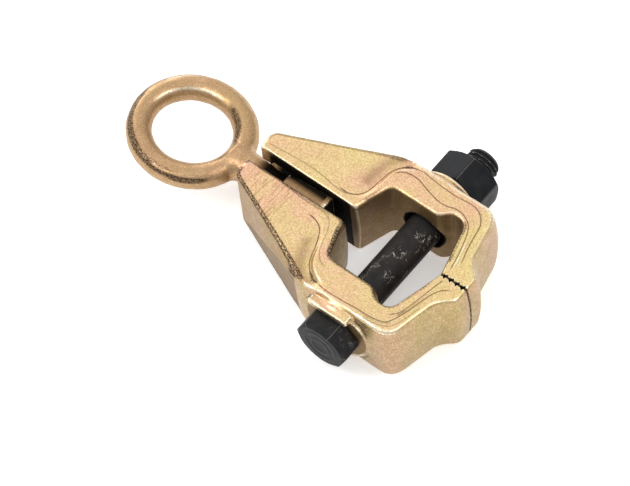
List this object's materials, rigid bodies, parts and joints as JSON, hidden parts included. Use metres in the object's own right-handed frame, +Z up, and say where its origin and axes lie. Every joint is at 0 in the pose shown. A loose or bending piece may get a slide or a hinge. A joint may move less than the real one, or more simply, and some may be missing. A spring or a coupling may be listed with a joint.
{
  "type": "self-tightening pull clamp",
  "caption": "Forged steel pull clamp: two toothed jaws on a cross bolt, spread at the rear by the wedge head of a pull eye.",
  "frame": {"origin": "middle of the bounding box, on the face that the clamp lies on", "axes": "+X along the pull line towards the toothed nose, +Y along the cross bolt towards its nut, +Z up, square to the jaws' flat faces"},
  "size_m": [0.2204, 0.1388, 0.044],
  "materials": {
    "gold_zinc_plate": "forged steel, yellow chromate zinc plated, satin",
    "black_oxide": "black oxide, satin"
  },
  "bodies": {
    "nut_side_jaw": {"nut_side_jaw": "gold_zinc_plate"},
    "head_side_jaw": {"head_side_jaw": "gold_zinc_plate"},
    "cross_bolt": {"cross_bolt": "black_oxide"},
    "hex_nut": {"hex_nut": "black_oxide"},
    "pull_eye": {"pull_eye": "gold_zinc_plate"}
  },
  "joints": [
    {"name": "jaw_open", "type": "slide", "parent": "nut_side_jaw", "child": "cross_bolt", "axis": [0, -1, 0], "range_m": [0, 0.008]},
    {"name": "nut_turn", "type": "hinge", "parent": "nut_side_jaw", "child": "hex_nut", "pos_m": [0.0606, 0.0498, 0.022], "axis": [0, 1, 0], "range_deg": [0, 1134]},
    {"name": "jaw_rock", "type": "hinge", "parent": "cross_bolt", "child": "head_side_jaw", "pos_m": [0.0606, -0.0574, 0.022], "axis": [0, 0, -1], "range_deg": [0, 1.5]},
    {"name": "eye_pull", "type": "slide", "parent": "nut_side_jaw", "child": "pull_eye", "axis": [-1, 0, 0], "range_m": [0, 0.009]}
  ],
  "couplings": [
    {"joint": "nut_turn", "follows": "jaw_open", "rad_per_m": 2473.7}
  ]
}
